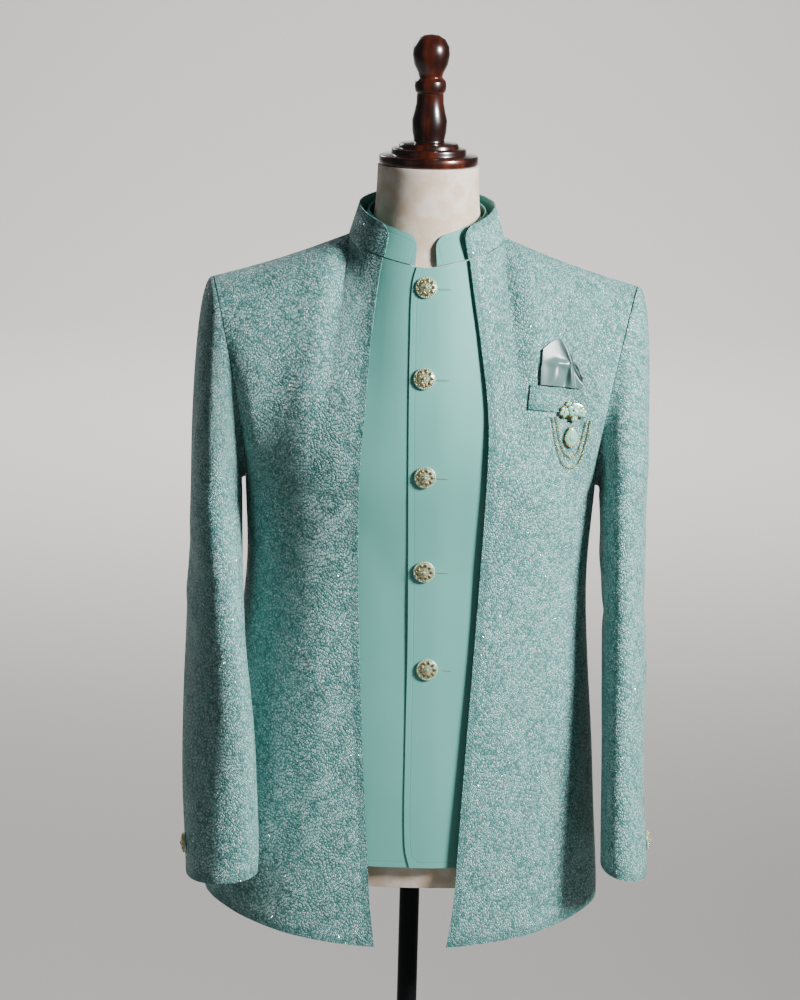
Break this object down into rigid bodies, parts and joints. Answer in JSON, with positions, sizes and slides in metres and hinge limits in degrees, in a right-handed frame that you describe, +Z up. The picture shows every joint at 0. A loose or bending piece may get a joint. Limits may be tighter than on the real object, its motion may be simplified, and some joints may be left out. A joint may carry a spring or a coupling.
{
  "type": "bandhgala jacket on a dress form",
  "caption": "Open-front embroidered jacket with stand collar over a closed-neck buttoned inner jacket, standing on a limbless dress form with turned cap, pole and base.",
  "frame": {"origin": "centre of the base plate's underside, on the pole's axis", "axes": "+Z up along the pole, the jacket's front faces -Y, the wearer's left is at +X"},
  "size_m": [0.5135, 0.3437, 1.665],
  "materials": {
    "embroidered_cloth": "embroidered",
    "plain_cloth": "plain weave",
    "satin": "satin",
    "linen": "matte",
    "turned_wood": "glossy varnish",
    "dark_steel": "satin",
    "gilt_metal": "polished",
    "enamel": "gloss"
  },
  "bodies": {
    "root": {"form_torso": "linen", "neck_cap": "turned_wood", "stand_pole": "dark_steel", "stand_base": "dark_steel", "inner_front_right": "plain_cloth", "inner_front_left": "plain_cloth", "inner_back": "plain_cloth", "inner_collar": "plain_cloth", "outer_front_right": "embroidered_cloth", "outer_front_left": "embroidered_cloth", "outer_back": "embroidered_cloth", "outer_collar": "embroidered_cloth", "sleeve_right_top": "embroidered_cloth", "sleeve_right_under": "embroidered_cloth", "sleeve_left_top": "embroidered_cloth", "sleeve_left_under": "embroidered_cloth", "chest_pocket_welt": "embroidered_cloth", "pocket_square": "satin", "cuff_button_right": "gilt_metal", "cuff_button_left": "gilt_metal", "button_1": "gilt_metal", "button_2": "gilt_metal", "button_3": "gilt_metal", "button_4": "gilt_metal", "button_5": "gilt_metal", "brooch_cluster": "enamel", "brooch_drop": "enamel", "brooch_chain_inner": "gilt_metal", "brooch_chain_outer": "gilt_metal"}
  },
  "joints": []
}
